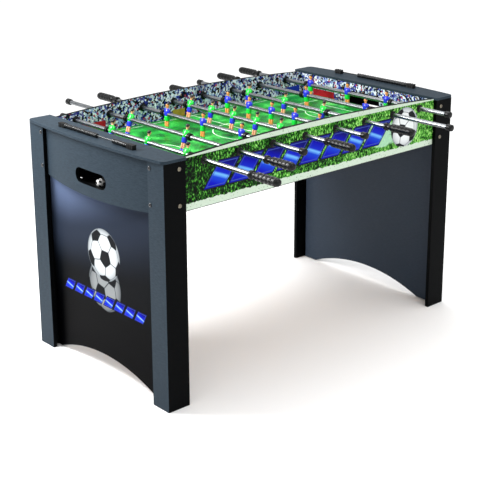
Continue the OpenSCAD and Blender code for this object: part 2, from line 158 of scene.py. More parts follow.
def joinPieces(name, pieces):
    clearSelection()
    for piece in pieces:
        piece.select_set(True)
    bpy.context.view_layer.objects.active = pieces[0]
    if len(pieces) > 1:
        bpy.ops.object.join()
    pieces[0].name = pieces[0].data.name = name
    return pieces[0]


def settle(piece, body, slotName, *replaced):
    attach(piece, body)
    if replaced:
        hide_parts(*replaced)
    return piece


def dropMaster(piece):
    bpy.data.objects.remove(piece)


def dressBoard(node, name, materials, chooseMaterial, edge=0.8, shortest=2.2):
    # a merged copy of a board with eased edges; chooseMaterial picks a material from a face's normal
    clearSelection()
    piece = bpy.data.objects.new(name, nodes[node].data.copy())
    bpy.context.scene.collection.objects.link(piece)
    activate(piece)
    bpy.ops.object.mode_set(mode="EDIT")
    bpy.ops.mesh.select_all(action="SELECT")
    bpy.ops.mesh.customdata_custom_splitnormals_clear()
    bpy.ops.mesh.remove_doubles(threshold=0.00001)
    bpy.ops.mesh.dissolve_limited(angle_limit=math.radians(0.15))
    bpy.ops.mesh.select_all(action="DESELECT")
    bpy.ops.mesh.select_mode(type="EDGE")
    bpy.ops.mesh.edges_select_sharp(sharpness=math.radians(35))
    shape = bmesh.from_edit_mesh(piece.data)
    for e in shape.edges:
        if e.calc_length() < shortest * mm:
            e.select_set(False)
    shape.select_flush_mode()
    bpy.ops.mesh.bevel(offset=edge * mm, segments=2, affect="EDGES", clamp_overlap=False)
    bpy.ops.mesh.select_all(action="SELECT")
    bpy.ops.mesh.normals_make_consistent(inside=False)
    bpy.ops.object.mode_set(mode="OBJECT")
    piece.data.materials.clear()
    for material in materials:
        piece.data.materials.append(material)
    for face in piece.data.polygons:
        face.material_index = chooseMaterial(face.normal)
    smooth(piece)
    piece.modifiers.new("evenFaces", "WEIGHTED_NORMAL").keep_sharp = True
    applyModifiers(piece)
    return piece


def roughen(tree, shader, place, size, low, high, bump=0.0, depth=0.0001):
    # uneven gloss and a fine relief; size is the grain in mm
    grain = addNode(tree, "TexNoise", place, 1 / (size * mm), 4.0, 0.6)
    gloss = addNode(tree, "MapRange", grain, 0.3, 0.7, low, high)
    tree.links.new(gloss, shader.inputs["Roughness"])
    if bump:
        relief = addNode(tree, "Bump", bump, depth, None, grain)
        tree.links.new(relief, shader.inputs["Normal"])


def foilLaminate(name, dark, light, low=0.36, high=0.52, **shaderValues):
    # printed paper foil on fibreboard: satin, with a faint streak along the board and fine pores
    material, tree, shader, place = startMaterial(name, dark, 0.45, IOR=1.5, **shaderValues)
    stretched = addNode(tree, "Mapping", place, (0, 0, 0), (0, 0, 0), (60, 60, 420), vector_type="POINT")
    streak = addNode(tree, "TexNoise", stretched, 1.0, 5.0, 0.65)
    tint = addNode(tree, "MapRange", streak, 0.35, 0.7, 0.0, 1.0)
    colour = addNode(tree, "Mix", tint, dark, light, data_type="RGBA")
    tree.links.new(colour, shader.inputs["Base Color"])
    roughen(tree, shader, place, 0.9, low, high, bump=0.12, depth=0.00008)
    return material


def mouldedPlastic(name, colour, grain=1.2, low=0.38, high=0.55, bump=0.15, **shaderValues):
    # injection-moulded plastic: fine spark-eroded grain and slightly uneven gloss
    material, tree, shader, place = startMaterial(name, colour, 0.45, IOR=1.5, **shaderValues)
    roughen(tree, shader, place, grain, low, high, bump=bump, depth=0.00006)
    return material


def metal(name, colour, roughness, streaks):
    # drawn or pressed metal: streaks is how many fine marks there are per metre along X, Y and Z
    material, tree, shader, place = startMaterial(name, colour, roughness, Metallic=1.0)
    stretched = addNode(tree, "Mapping", place, (0, 0, 0), (0, 0, 0), streaks, vector_type="POINT")
    marks = addNode(tree, "TexNoise", stretched, 1.0, 3.0, 0.5)
    gloss = addNode(tree, "MapRange", marks, 0.3, 0.7, roughness * 0.7, roughness * 1.5)
    tree.links.new(gloss, shader.inputs["Roughness"])
    return material


def fillRamp(output, interpolation, *stops):
    # stops are (place on the ramp, colour)
    ramp = output.node.color_ramp
    ramp.interpolation = interpolation
    while len(ramp.elements) < len(stops):
        ramp.elements.new(0.5)
    for element, (position, colour) in zip(ramp.elements, stops):
        element.position, element.color = position, linearColour(colour)
    return output


def ballPattern(tree, direction):
    # folds a direction from the ball's centre into one wedge of a football's panels;
    # gives masks for the twelve pentagons and for the seams between the panels
    wide, narrow = math.cos(math.pi / 5), math.sqrt(0.75 - math.cos(math.pi / 5) ** 2)
    mirrorPlane = Vector((-0.5, -wide, narrow))
    pentagonCentre = Vector((narrow, 0, 0.5)).normalized()
    hexagonCentre = Vector((0, narrow, wide)).normalized()
    # 2.327 and 2.267 edge lengths are how far the two kinds of panel lie from the centre
    pentagonEdge = (pentagonCentre / 2.327 - hexagonCentre / 2.267).normalized()
    point = direction
    for fold in range(3):
        point = addNode(tree, "VectorMath", point, operation="ABSOLUTE")
        across = addNode(tree, "VectorMath", point, mirrorPlane, operation="DOT_PRODUCT")
        behind = addNode(tree, "Math", across, 0.0, operation="MINIMUM")
        push = addNode(tree, "Math", behind, -2.0, operation="MULTIPLY")
        step = addNode(tree, "VectorMath", mirrorPlane, push, operation="SCALE")
        point = addNode(tree, "VectorMath", point, step, operation="ADD")
    point = addNode(tree, "VectorMath", point, operation="ABSOLUTE")
    side = addNode(tree, "VectorMath", point, pentagonEdge, operation="DOT_PRODUCT")
    pentagon = addNode(tree, "MapRange", side, -0.006, 0.006, 0.0, 1.0)
    toSeam = addNode(tree, "VectorMath", point, (0, 1, 0), operation="DOT_PRODUCT")
    insidePentagon = addNode(tree, "Math", side, 0.0, operation="MAXIMUM")
    toSeam = addNode(tree, "Math", insidePentagon, 50.0, toSeam, operation="MULTIPLY_ADD")
    toEdge = addNode(tree, "Math", side, operation="ABSOLUTE")
    nearest = addNode(tree, "Math", toSeam, toEdge, operation="MINIMUM")
    seam = addNode(tree, "MapRange", nearest, 0.012, 0.03, 1.0, 0.0)
    return pentagon, seam


def printedBall(tree, place, colour, centre, radius, facing, spin, shades, fade=1.0):
    # a football printed flat on a board that faces the given way, drawn over the colour so far
    facing = Vector(facing)
    flatten = Vector([1 - abs(f) for f in facing])
    offset = addNode(tree, "VectorMath", place, Vector(centre), operation="SUBTRACT")
    offset = addNode(tree, "VectorMath", offset, flatten / radius, operation="MULTIPLY")
    fromCentre = addNode(tree, "VectorMath", offset, offset, operation="DOT_PRODUCT")
    inside = addNode(tree, "MapRange", fromCentre, 0.97, 1.0, fade, 0.0)
    rise = addNode(tree, "Math", 1.0, fromCentre, operation="SUBTRACT")
    rise = addNode(tree, "Math", addNode(tree, "Math", rise, 0.0, operation="MAXIMUM"), operation="SQRT")
    lift = addNode(tree, "VectorMath", facing, rise, operation="SCALE")
    direction = addNode(tree, "VectorMath", offset, lift, operation="ADD")
    turnedBall = addNode(tree, "Mapping", direction, (0, 0, 0), spin, (1, 1, 1), vector_type="POINT")
    pentagon, seam = ballPattern(tree, turnedBall)
    shade = addNode(tree, "MapRange", rise, 0.1, 0.8, 0.0, 1.0)
    leather = addNode(tree, "Mix", shade, *shades[:2], data_type="RGBA")
    leather = addNode(tree, "Mix", seam, leather, shades[2], data_type="RGBA")
    leather = addNode(tree, "Mix", pentagon, leather, shades[3], data_type="RGBA")
    return addNode(tree, "Mix", inside, colour, leather, data_type="RGBA")


def slantedBlocks(tree, along, up, colour, blocks):
    # a row of slanted blue blocks with a grey outline, drawn over the colour so far; sizes in mm
    lean = addNode(tree, "Math", up, -blocks["lean"], along, operation="MULTIPLY_ADD")
    count = addNode(tree, "Math", lean, blocks["pitch"] * mm, operation="DIVIDE")
    step = addNode(tree, "Math", count, operation="FRACT")
    half = blocks["fill"] / 2
    sideways = addNode(tree, "Math", step, half, operation="SUBTRACT")
    sideways = addNode(tree, "Math", sideways, operation="ABSOLUTE")
    sideways = addNode(tree, "Math", sideways, half, operation="SUBTRACT")
    sideways = addNode(tree, "Math", sideways, blocks["pitch"], operation="MULTIPLY")
    upright = addNode(tree, "Math", addNode(tree, "Math", up, operation="ABSOLUTE"), 1 / mm, operation="MULTIPLY")
    upright = addNode(tree, "Math", upright, blocks["height"] / 2, operation="SUBTRACT")
    distance = addNode(tree, "Math", sideways, upright, operation="MAXIMUM")
    middle = blocks["count"] / 2
    ends = addNode(tree, "Math", count, middle, operation="SUBTRACT")
    ends = addNode(tree, "Math", addNode(tree, "Math", ends, operation="ABSOLUTE"), middle, operation="LESS_THAN")
    outline = addNode(tree, "Math", distance, 0.0, operation="LESS_THAN")
    outline = addNode(tree, "Math", outline, ends, operation="MULTIPLY")
    inner = addNode(tree, "Math", distance, -blocks["outline"], operation="LESS_THAN")
    inner = addNode(tree, "Math", inner, ends, operation="MULTIPLY")
    # the bright part runs aslant across each block
    shine = addNode(tree, "MapRange", up, -blocks["height"] / 2 * mm, blocks["height"] / 2 * mm, 0.0, 1.0)
    shine = addNode(tree, "Math", step, 0.35, shine, operation="MULTIPLY_ADD")
    paint = fillRamp(addNode(tree, "ValToRGB", shine), "LINEAR", (0.0, "#05068c"), (0.3, "#0a12b4"),
                     (0.5, "#1440c8"), (0.6, blocks["shine"]), (0.66, "#0f24b8"), (0.85, "#0508a0"), (1.0, "#05076c"))
    line = addNode(tree, "Math", distance, -2.2 * blocks["outline"], blocks["outline"] * 0.3, operation="COMPARE")
    paint = addNode(tree, "Mix", line, paint, "#3a4d9c", data_type="RGBA")
    colour = addNode(tree, "Mix", outline, colour, "#14181f", data_type="RGBA")
    return addNode(tree, "Mix", inner, colour, paint, data_type="RGBA")


def printedWall(name, turn):
    # vinyl print on fibreboard: grass blades drawn coarse enough to show, blue blocks, a football with pale streaks,
    # and white bands; turn is 0 on the near wall and half a turn on the far one
    material, tree, shader, place = startMaterial(name, "#3f8a2c", 0.42, IOR=1.5, Specular_IOR_Level=0.06)
    place = addNode(tree, "Mapping", place, (0, 2 * tableY if turn else 0, 0), (0, 0, turn), (1, 1, 1),
                    vector_type="POINT")
    axes = addNode(tree, "SeparateXYZ", place).node.outputs
    along, up = axes["X"], axes["Z"]
    blades = addNode(tree, "Mapping", place, (0, 0, 0), (0, 0.35, 0), (1, 1, 0.55), vector_type="POINT")
    blades = addNode(tree, "TexNoise", blades, 1 / (6 * mm), 3.0, 0.8)
    patches = addNode(tree, "TexNoise", place, 1 / (70 * mm), 2.0, 0.5)
    fresh = addNode(tree, "MapRange", along, -0.5, 0.2, -0.075, 0.03)
    blades = addNode(tree, "Math", blades, fresh, operation="ADD")
    blades = addNode(tree, "Math", patches, 0.28, addNode(tree, "Math", blades, 0.14, operation="SUBTRACT"),
                     operation="MULTIPLY_ADD")
    colour = fillRamp(addNode(tree, "ValToRGB", blades), "LINEAR", (0.4, "#030a03"), (0.46, "#123310"),
                      (0.52, "#2f7a20"), (0.58, "#5cb43c"), (0.67, "#b9ea8c"))
    # pale streaks that trail behind the ball, to its left
    trail = addNode(tree, "Mapping", place, (0, 0, 0), (0, -0.5, 0), (9, 1, 30), vector_type="POINT")
    trail = addNode(tree, "TexNoise", trail, 1.0, 2.0, 0.5)
    trailAt = Vector(wallPrint["ball"]) - Vector((0.13, 0, 0))
    toBall = addNode(tree, "VectorMath", place, trailAt, operation="SUBTRACT")
    toBall = addNode(tree, "VectorMath", toBall, (1 / 0.15, 0, 1 / 0.085), operation="MULTIPLY")
    toBall = addNode(tree, "VectorMath", toBall, operation="LENGTH")
    near = addNode(tree, "MapRange", toBall, 0.45, 1.0, 0.2, -0.4)
    pale = addNode(tree, "MapRange", addNode(tree, "Math", trail, near, operation="ADD"), 0.6, 0.7, 0.0, 0.85)
    colour = addNode(tree, "Mix", pale, colour, "#a8d4b4", data_type="RGBA")
    blockAlong = addNode(tree, "Math", along, wallBlocks["start"] * mm, operation="SUBTRACT")
    blockUp = addNode(tree, "Math", up, wallBlocks["middle"] * mm, operation="SUBTRACT")
    colour = slantedBlocks(tree, blockAlong, blockUp, colour, wallBlocks)
    colour = printedBall(tree, place, colour, wallPrint["ball"], wallPrint["ballRadius"], (0, -1, 0), (0.5, 0.2, 0.4),
                         wallPrint["ballShades"])
    # white bands: under the crowned edge, and along the bottom with a torn upper edge
    fromMiddle = addNode(tree, "Math", along, along, operation="MULTIPLY")
    line = addNode(tree, "Math", fromMiddle, -wallPrint["bandCurve"], wallPrint["bandTop"], operation="MULTIPLY_ADD")
    above = addNode(tree, "Math", up, line, operation="GREATER_THAN")
    torn = addNode(tree, "TexNoise", place, 1 / (14 * mm), 2.0, 0.6)
    tornLine = addNode(tree, "Math", torn, 0.016, wallPrint["bandBottom"], operation="MULTIPLY_ADD")
    below = addNode(tree, "Math", up, tornLine, operation="LESS_THAN")
    band = addNode(tree, "Math", above, below, operation="MAXIMUM")
    specks = addNode(tree, "TexNoise", place, 1 / (5 * mm), 1.0, 0.5)
    white = addNode(tree, "MapRange", specks, 0.68, 0.72, 0.0, 1.0)
    white = addNode(tree, "Mix", white, "#c3d3c1", "#5d7a56", data_type="RGBA")
    rim = addNode(tree, "Math", up, wallPrint["rim"], operation="LESS_THAN")
    white = addNode(tree, "Mix", rim, white, "#20241f", data_type="RGBA")
    colour = addNode(tree, "Mix", band, colour, white, data_type="RGBA")
    tree.links.new(colour, shader.inputs["Base Color"])
    roughen(tree, shader, place, 1.5, 0.34, 0.46, bump=0.05, depth=0.00005)
    return material


def crowdPrint(name, boards):
    # printed crowd: cells 7.5 mm across for people, with a lighter spot for each head, and plain coloured boards
    material, tree, shader, place = startMaterial(name, "#7d8898", 0.45, IOR=1.5, Specular_IOR_Level=0.08)
    people = addNode(tree, "TexVoronoi", place, 1 / (7.5 * mm)).node.outputs
    pick = addNode(tree, "SeparateColor", people["Color"]).node.outputs
    clothes = fillRamp(addNode(tree, "ValToRGB", pick["Red"]), "CONSTANT", (0.0, "#0a0d1a"), (0.17, "#dfe6f2"),
                       (0.4, "#2a3590"), (0.54, "#8fa6d0"), (0.68, "#0d0e13"), (0.8, "#ccd4e4"),
                       (0.9, "#a8405c"), (0.94, "#5b5fa6"))
    heads = fillRamp(addNode(tree, "ValToRGB", pick["Green"]), "CONSTANT", (0.0, "#1b1714"), (0.35, "#c99a80"),
                     (0.75, "#3a2a22"))
    head = addNode(tree, "MapRange", people["Distance"], 0.20, 0.26, 1.0, 0.0)
    colour = addNode(tree, "Mix", head, clothes, heads, data_type="RGBA")
    shadows = addNode(tree, "TexNoise", place, 1 / (34 * mm), 3.0, 0.6)
    shadows = addNode(tree, "MapRange", shadows, 0.48, 0.66, 0.0, 0.5)
    colour = addNode(tree, "Mix", shadows, colour, "#131a2c", data_type="RGBA")
    axes = addNode(tree, "SeparateXYZ", place).node.outputs
    for board in boards:
        across = axes[board["axis"]]
        if board["axis"] == "Y":
            across = addNode(tree, "Math", across, tableY, operation="SUBTRACT")
            across = addNode(tree, "Math", across, operation="ABSOLUTE")
        across = addNode(tree, "Math", across, board["middle"], board["half"], operation="COMPARE")
        upright = addNode(tree, "Math", axes["Z"], fieldTop + board["top"] / 2, board["top"] / 2, operation="COMPARE")
        mask = addNode(tree, "Math", across, upright, operation="MULTIPLY")
        # painted shadow: the dark patches that shade the crowd fall across the boards as well
        boardShadow = addNode(tree, "MapRange", shadows, 0.0, 0.55, 0.0, 0.4)
        paint = addNode(tree, "Mix", boardShadow, board["colour"], "#202228", data_type="RGBA")
        colour = addNode(tree, "Mix", mask, colour, paint, data_type="RGBA")
    # the print stops at the field; the board below it is plain black
    under = addNode(tree, "Math", axes["Z"], fieldTop - 4 * mm, operation="LESS_THAN")
    colour = addNode(tree, "Mix", under, colour, "#060708", data_type="RGBA")
    tree.links.new(colour, shader.inputs["Base Color"])
    roughen(tree, shader, place, 1.5, 0.36, 0.5, bump=0.05, depth=0.00005)
    return material


def printedPitch(name):
    # printed playing field: mottled turf with white lines 4 mm wide under a dull lacquer
    material, tree, shader, place = startMaterial(name, "#128a33", 0.3, IOR=1.5, Specular_IOR_Level=0.12)
    centred = addNode(tree, "VectorMath", place, (0, tableY, fieldTop), operation="SUBTRACT")
    patches = addNode(tree, "TexNoise", place, 1 / (85 * mm), 4.0, 0.62)
    grass = addNode(tree, "TexNoise", place, 1 / (7 * mm), 3.0, 0.7)
    mix = addNode(tree, "Math", grass, 0.35, addNode(tree, "Math", patches, 0.65, operation="MULTIPLY"),
                  operation="MULTIPLY_ADD")
    colour = fillRamp(addNode(tree, "ValToRGB", mix), "LINEAR", (0.36, "#02340d"), (0.45, "#0a6e20"),
                      (0.53, "#1b9a33"), (0.61, "#46c850"), (0.7, "#8ee88a"))
    folded = addNode(tree, "VectorMath", centred, operation="ABSOLUTE")
    axes = addNode(tree, "SeparateXYZ", folded).node.outputs
    halfLine = pitchLines["width"] / 2 * mm
    flat = addNode(tree, "VectorMath", centred, (1, 1, 0), operation="MULTIPLY")
    fromSpot = addNode(tree, "VectorMath", flat, operation="LENGTH")
    lines = [addNode(tree, "Math", fromSpot, pitchLines["circle"] * mm, halfLine, operation="COMPARE"),
             addNode(tree, "Math", fromSpot, pitchLines["spot"] * mm, operation="LESS_THAN"),
             addNode(tree, "Math", axes["X"], halfLine, operation="LESS_THAN")]
    for boxName in ("penaltyBox", "goalBox", "touchLine"):
        lineX, lineY = pitchLines[boxName]
        if boxName == "touchLine":
            pastX = addNode(tree, "Math", axes["X"], lineX * mm, operation="SUBTRACT")
        else:
            pastX = addNode(tree, "Math", lineX * mm, axes["X"], operation="SUBTRACT")
        pastY = addNode(tree, "Math", axes["Y"], lineY * mm, operation="SUBTRACT")
        edge = addNode(tree, "Math", pastX, pastY, operation="MAXIMUM")
        lines.append(addNode(tree, "Math", edge, 0.0, halfLine, operation="COMPARE"))
    arcAt = addNode(tree, "VectorMath", folded, (pitchLines["penaltySpot"] * mm, 0, 0), operation="SUBTRACT")
    fromArc = addNode(tree, "VectorMath", addNode(tree, "VectorMath", arcAt, (1, 1, 0), operation="MULTIPLY"),
                      operation="LENGTH")
    arc = addNode(tree, "Math", fromArc, pitchLines["arc"] * mm, halfLine, operation="COMPARE")
    outside = addNode(tree, "Math", axes["X"], pitchLines["penaltyBox"][0] * mm, operation="LESS_THAN")
    lines.append(addNode(tree, "Math", arc, outside, operation="MULTIPLY"))
    white = lines[0]
    for line in lines[1:]:
        white = addNode(tree, "Math", white, line, operation="MAXIMUM")
    white = addNode(tree, "Math", white, 0.9, operation="MULTIPLY")
    colour = addNode(tree, "Mix", white, colour, "#e9f7e6", data_type="RGBA")
    tree.links.new(colour, shader.inputs["Base Color"])
    roughen(tree, shader, place, 2.0, 0.24, 0.36, bump=0.04, depth=0.00005)
    return material


def printedPanel(name):
    # end panel print on its outer face: dark blue-grey fading to black towards the bottom and towards one side,
    # partly the print's own fade and partly painted shade where the window light falls off; a football with its
    # reflection below, and a row of small slanted blocks
    material, tree, shader, place = startMaterial(name, "#20242e", 0.35, IOR=1.5, Specular_IOR_Level=0.02)
    axes = addNode(tree, "SeparateXYZ", place).node.outputs
    across = addNode(tree, "Math", axes["Y"], tableY, operation="SUBTRACT")
    facing = addNode(tree, "Math", axes["X"], operation="SIGN")
    sideways = addNode(tree, "Math", across, facing, operation="MULTIPLY")
    # painted shade in part: lighter at the top and on the side towards the window light, darker towards the floor
    fadeAndShade = addNode(tree, "MapRange", axes["Z"], 0.2, 0.66, 0.0, 1.0)
    corner = addNode(tree, "MapRange", sideways, 0.3, -0.2, 0.1, 0.5)
    fadeAndShade = addNode(tree, "Math", fadeAndShade, addNode(tree, "Math", corner, 0.5, operation="ADD"), operation="MULTIPLY")
    colour = fillRamp(addNode(tree, "ValToRGB", fadeAndShade), "EASE", (0.0, "#010102"), (0.25, "#06080b"),
                      (0.6, "#222936"), (1.0, "#525f7b"))
    for end in (-1, 1):
        centre = (end * panelPrint["face"] * mm, tableY, panelPrint["ball"] * mm)
        mirrored = (*centre[:2], centre[2] - panelPrint["reflection"] * mm)
        near = addNode(tree, "Math", facing, end, 0.5, operation="COMPARE")
        low = printedBall(tree, place, colour, mirrored, panelPrint["ballRadius"] * mm, (end, 0, 0), (0.2, 0.3, 0.9),
                          panelPrint["ballShades"], 0.4)
        both = printedBall(tree, place, low, centre, panelPrint["ballRadius"] * mm, (end, 0, 0), (0.3, 0.15, 0.5),
                           panelPrint["ballShades"])
        colour = addNode(tree, "Mix", near, colour, both, data_type="RGBA")
    up = addNode(tree, "Math", axes["Z"], panelBlocks["middle"] * mm, operation="SUBTRACT")
    along = addNode(tree, "Math", sideways, panelBlocks["start"] * mm, operation="SUBTRACT")
    colour = slantedBlocks(tree, along, up, colour, panelBlocks)
    tree.links.new(colour, shader.inputs["Base Color"])
    roughen(tree, shader, place, 1.5, 0.28, 0.42, bump=0.05, depth=0.00005)
    return material


# sizes of the prints: wallPrint and the boards in metres, the rest in mm
wallPrint = {"ball": (0.446, 0, 0.762), "ballRadius": 0.076, "bandTop": 0.845, "bandCurve": 0.014,
             "bandBottom": 0.682, "rim": 0.6675,
             "ballShades": ("#7d858c", "#dfe3e3", "#565b60", "#17191c")}
wallBlocks = {"start": -496, "middle": 764, "height": 92, "pitch": 106, "fill": 0.9, "count": 8, "lean": 0.8,
              "outline": 4.5, "shine": "#6fb4f2"}
pitchLines = {"width": 4, "circle": 134, "spot": 7, "penaltyBox": (380, 190), "goalBox": (505, 120),
              "touchLine": (590, 325), "penaltySpot": 440, "arc": 105}
panelPrint = {"face": 668, "ball": 436, "ballRadius": 94, "reflection": 112,
              "ballShades": ("#5b6268", "#c3c8ca", "#555a5f", "#15171a")}
panelBlocks = {"start": -238, "middle": 270, "height": 42, "pitch": 59, "fill": 0.86, "count": 8, "lean": 0.6,
               "outline": 2.5, "shine": "#8fb8ff"}
endBoards = [{"axis": "Y", "middle": 0.217, "half": 0.06, "top": 0.027, "colour": "#b3202a"}]
sideBoards = [{"axis": "X", "middle": -0.46, "half": 0.065, "top": 0.042, "colour": "#b3202a"},
              {"axis": "X", "middle": 0.56, "half": 0.045, "top": 0.03, "colour": "#1f37a8"},
              {"axis": "X", "middle": -0.05, "half": 0.03, "top": 0.03, "colour": "#b89a3a"}]

print("materials")
greyLaminate = foilLaminate("greyFoilLaminate", "#262f37", "#303b44", Specular_IOR_Level=0.04)
# near-black foil for the faces that do not look out along the ends; on the legs' sides it is painted shade, standing
# in for the shade away from the window light
blackAndShadeLaminate = foilLaminate("blackAndShadeFoilLaminate", "#030405", "#060708", Specular_IOR_Level=0.03)
innerLaminate = foilLaminate("darkBlueFoilLaminate", "#2b3440", "#313b48", Specular_IOR_Level=0.1)
wallOutside = {"near": printedWall("printedTurfVinyl", 0), "far": printedWall("printedTurfVinylFar", math.pi)}
wallInside = crowdPrint("printedCrowdVinyl", sideBoards)
endInside = crowdPrint("printedCrowdVinylEnds", endBoards)
pitchPrint = printedPitch("printedPitchFoil")
panelFace = printedPanel("printedPanelFoil")
blackAbs = mouldedPlastic("blackAbs", "#0a0b0c", Specular_IOR_Level=0.25)
nylon = mouldedPlastic("blackNylon", "#08090a", 1.6, 0.3, 0.42, Specular_IOR_Level=0.25)
beadPlastic = mouldedPlastic("blackPolystyrene", "#16181a", 1.0, 0.16, 0.28)
rubber = mouldedPlastic("blackRubber", "#08090a", 0.8, 0.22, 0.34, 0.2, Specular_IOR_Level=0.22)
chrome = metal("chromedSteel", "#808386", 0.24, (900, 30, 900))
zincSteel = metal("zincPlatedSteel", "#7e7769", 0.3, (500, 500, 500))
blackSteel = mouldedPlastic("blackenedSteel", "#1b1d20", 0.6, 0.2, 0.32, 0.1)
greenPlastic = mouldedPlastic("greenShirtPolystyrene", "#12c93c", 0.9, 0.22, 0.34)
bluePlastic = mouldedPlastic("blueShirtPolystyrene", "#1d2ec4", 0.9, 0.22, 0.34)
skinPaint = mouldedPlastic("skinTonePaint", "#e0a27c", 0.9, 0.3, 0.42)
orangePaint = mouldedPlastic("orangeSkinTonePaint", "#ec9c55", 0.9, 0.3, 0.42)
whitePaint = mouldedPlastic("whitePaint", "#e6e8ea", 0.9, 0.28, 0.4)
hairPaint = mouldedPlastic("blackHairPaint", "#0d0c0c", 0.7, 0.25, 0.4, 0.3)
bareWood = foilLaminate("pineBatten", "#a67c4e", "#caa271", 0.55, 0.75)

print("boards")
faceLimit = 0.7  # cosine of the widest angle at which a face still counts as looking one way


def byFront(axis):
    # index 0 on faces that look along that signed axis, and otherwise 1
    return lambda normal: 0 if normal.dot(axis) > faceLimit else 1


def bySides(axis):
    # index 0 on faces that look along that signed axis, 1 on those that look back, and 2 on the edges
    return lambda normal: 0 if normal.dot(axis) > faceLimit else 1 if normal.dot(axis) < -faceLimit else 2


for end, sign in (("left", -1), ("right", 1)):
    outward = Vector((sign, 0, 0))
    settle(dressBoard(f"top_cap_{end}", f"cap_board_{end}", [greyLaminate], lambda n: 0, edge=1.5),
           "table", "grey_laminate", f"top_cap_{end}")
    settle(dressBoard(f"end_apron_{end}", f"apron_board_{end}", [greyLaminate, blackAndShadeLaminate], byFront(outward)),
           "table", "grey_laminate", f"end_apron_{end}")
    settle(dressBoard(f"end_wall_{end}", f"goal_board_{end}", [endInside, blackAndShadeLaminate], byFront(-outward)),
           "table", "printed_end", f"end_wall_{end}")
    settle(dressBoard(f"leg_panel_{end}", f"panel_board_{end}", [panelFace, innerLaminate, blackAndShadeLaminate],
                      bySides(outward)), "table", "printed_panel", f"leg_panel_{end}")
    settle(dressBoard(f"goal_tray_{end}", f"ball_tray_{end}", [blackAbs], lambda n: 0, edge=0.5),
           "table", "black_plastic", f"goal_tray_{end}")
    for side in ("near", "far"):
        # painted shade: the grey foil goes on the ends of the legs, which the window light reaches, and the
        # near-black foil on their shaded sides
        settle(dressBoard(f"leg_{side}_{end}", f"leg_boards_{side}_{end}", [greyLaminate, blackAndShadeLaminate],
                          byFront(outward)), "table", "black_laminate", f"leg_{side}_{end}")
for side, sign in (("near", -1), ("far", 1)):
    outward = Vector((0, sign, 0))
    settle(dressBoard(f"side_wall_{side}", f"wall_board_{side}", [wallOutside[side], wallInside, blackAndShadeLaminate],
                      bySides(outward)), "table", "printed_wall", f"side_wall_{side}")
settle(dressBoard("playfield", "pitch_board", [pitchPrint, bareWood],
                  byFront(Vector((0, 0, 1))), edge=0.3), "table", "printed_field", "playfield")
settle(dressBoard("playfield_battens", "pitch_battens", [bareWood], lambda n: 0, edge=1),
       "table", "bare_wood", "playfield_battens")

print("bolts")
# places in metres: endY and sideX are how far the bolts lie from the middle on the two faces of a leg
boltShape = {"head": [(0, 7), (1.1, 7), (2.2, 6), (3, 4.2)], "headRise": 3, "shank": 3, "tip": 2.6, "length": 34.5,
             "recess": 4.2, "recessDepth": 1.6, "endY": 0.310, "sideX": 0.636, "heights": (0.695, 0.815)}
legHalfX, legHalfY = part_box("leg_far_right")[1].x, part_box("leg_far_right")[1].y - tableY
head = turned("boltHead", [(0.01, boltShape["shank"]), *boltShape["head"]], 32)
clearSelection()
cutDepth = 4
bpy.ops.mesh.primitive_cylinder_add(
    vertices=6, radius=boltShape["recess"] / 2 * mm, depth=cutDepth * mm,
    location=(0, 0, (boltShape["headRise"] + cutDepth / 2 - boltShape["recessDepth"]) * mm))
recess = bpy.context.object
socket = head.modifiers.new("hexSocket", "BOOLEAN")
socket.object, socket.operation, socket.solver = recess, "DIFFERENCE", "EXACT"
applyModifiers(head)
dropMaster(recess)
shank = turned("boltShank", [
    (-boltShape["length"], boltShape["tip"]), (0.5 - boltShape["length"], boltShape["shank"]),
    (0.02, boltShape["shank"])], 24)
bolt = joinPieces("bolt", [head, shank])
smooth(bolt)
heads = []
for end in (-1, 1):
    for side in (-1, 1):
        for height in boltShape["heights"]:
            toEnd = Matrix.Translation((end * legHalfX, tableY + side * boltShape["endY"], height)) \
                @ Matrix.Rotation(end * math.pi / 2, 4, "Y")
            toSide = Matrix.Translation((end * boltShape["sideX"], tableY + side * legHalfY, height)) \
                @ Matrix.Rotation(-side * math.pi / 2, 4, "X")
            for place, finish in ((toEnd, blackSteel), (toSide, zincSteel)):
                one = copyPiece(bolt, "oneBolt", place)
                one.data.materials.append(finish)
                heads.append(one)
settle(joinPieces("leg_bolt_set", heads), "table", "steel", "leg_bolts")
dropMaster(bolt)
nodes["leg_bolt_nuts"].data.materials[0] = zincSteel

print("bearings")
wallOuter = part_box("side_wall_far")[1].y - tableY
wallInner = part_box("side_wall_far")[0].y - tableY
# (height, radius) pairs in mm; a bush's collars stand at both ends of its sleeve
bearingShape = {
    "flange": [(0, 10.6), (0, 14), (3.6, 14), (4.6, 13.4), (5, 12.4), (5, 10.6), (0, 10.6)],
    "nut": [(0, 12.5), (0, 15.2), (0.8, 16), (4.2, 16), (5, 15.2), (5, 12.5), (0, 12.5)],
    "nutThickness": 5, "bushGap": 2.4, "bushBore": 8.1, "bushSleeve": 10.5,
    "collar": 12, "collarEdge": 11.4, "collarThickness": 2, "easing": 0.5,
}
flange = turned("flange", bearingShape["flange"], 40, True)
nut = turned("nut", bearingShape["nut"], 6, True)
bushOut = (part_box("rod_1_bushes")[1].y - tableY) / mm
bushIn = wallInner / mm - bearingShape["nutThickness"] - bearingShape["bushGap"]
bore, sleeve, collar, edge, thick, easing = [
    bearingShape[k] for k in ("bushBore", "bushSleeve", "collar", "collarEdge", "collarThickness", "easing")]
bush = turned("bush", [(bushIn, bore), (bushIn, edge), (bushIn + easing, collar), (bushIn + thick, collar),
                       (bushIn + thick, sleeve), (bushOut - thick, sleeve), (bushOut - thick, collar),
                       (bushOut - easing, collar), (bushOut, edge), (bushOut, bore), (bushIn, bore)], 40, True)
for piece in (flange, nut, bush):
    smooth(piece, 40)
faceFar = Matrix.Rotation(-math.pi / 2, 4, "X")
flanges, nuts = [], []
